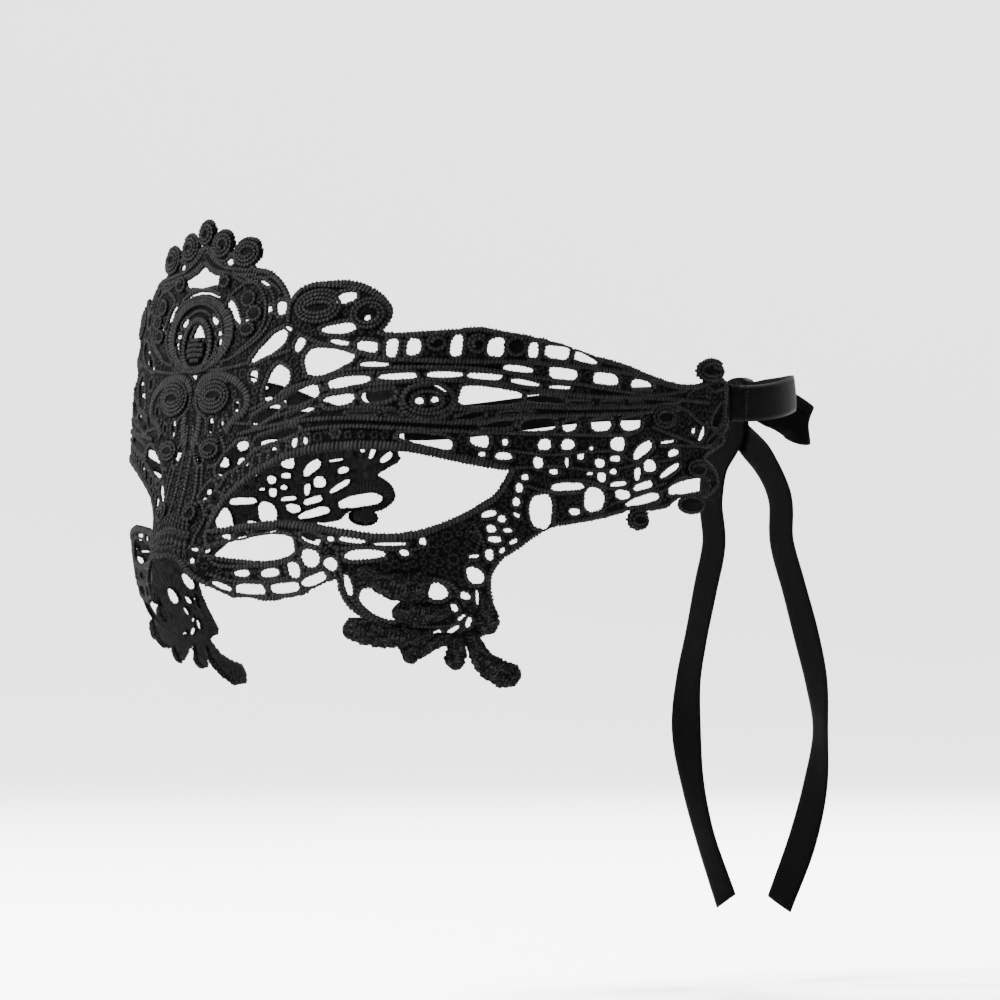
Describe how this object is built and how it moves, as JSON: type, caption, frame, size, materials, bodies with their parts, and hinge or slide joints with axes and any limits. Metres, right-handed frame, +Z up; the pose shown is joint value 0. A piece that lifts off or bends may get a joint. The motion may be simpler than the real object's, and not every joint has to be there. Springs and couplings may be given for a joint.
{
  "type": "lace masquerade mask with ribbon ties",
  "caption": "Black guipure lace eye mask with a pierced scroll crown, swept wings and cheek petals, tied behind the head with a satin ribbon bow.",
  "frame": {"origin": "inner face of the lace at the middle of the nose arch, where the mask rests on the bridge of the nose", "axes": "+X to the wearer's left, +Y from the face towards the back of the head, +Z up"},
  "size_m": [0.1572, 0.229, 0.2036],
  "materials": {
    "lace_thread": "black matt embroidery thread in satin stitch, slightly fuzzy",
    "satin_ribbon": "smooth black satin ribbon with a soft sheen and woven edges"
  },
  "bodies": {
    "root": {"lace_mask": "lace_thread", "ribbon_band_left": "satin_ribbon", "ribbon_band_right": "satin_ribbon", "bow_knot": "satin_ribbon", "bow_loop_left": "satin_ribbon", "bow_loop_right": "satin_ribbon", "ribbon_tail_left": "satin_ribbon", "ribbon_tail_right": "satin_ribbon"}
  },
  "joints": []
}
